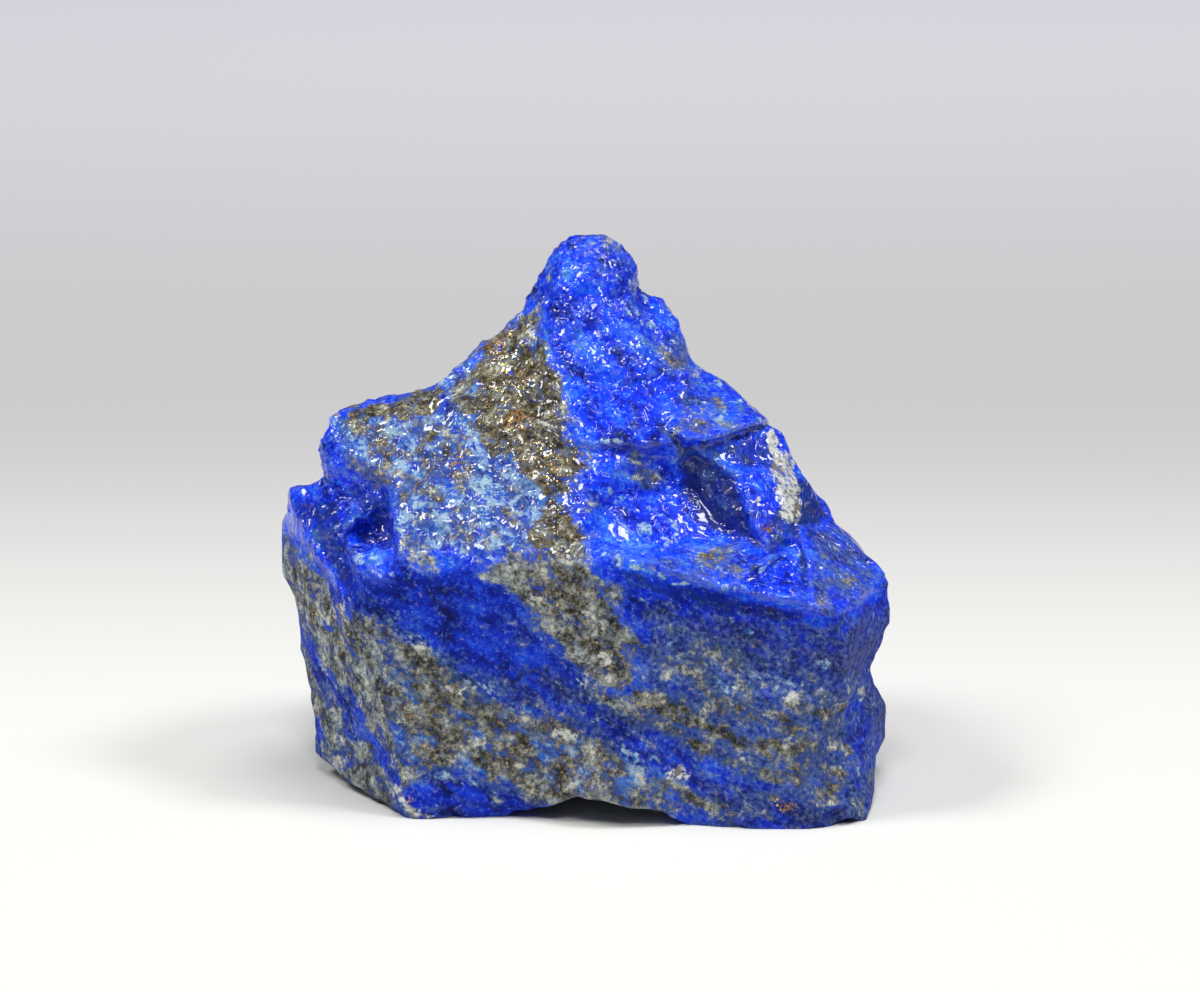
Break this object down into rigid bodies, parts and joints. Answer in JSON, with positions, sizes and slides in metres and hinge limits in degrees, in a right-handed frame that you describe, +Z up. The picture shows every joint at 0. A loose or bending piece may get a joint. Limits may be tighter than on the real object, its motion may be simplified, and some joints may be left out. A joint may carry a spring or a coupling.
{
  "type": "rough lapis lazuli stone",
  "caption": "Rough broken piece of blue lapis lazuli with grey, white and gold flecks, for display; it stands on its hollow underside.",
  "frame": {"origin": "the surface that the stone rests on, under the middle of its outline", "axes": "+Z up, +X to the right and +Y to the back as the picture shows the stone"},
  "size_m": [0.0504, 0.0364, 0.0439],
  "materials": {
    "lapis": "broken surface, matt on the steep faces and glossy on the upper ones"
  },
  "bodies": {
    "root": {"lapis_stone": "lapis"}
  },
  "joints": []
}
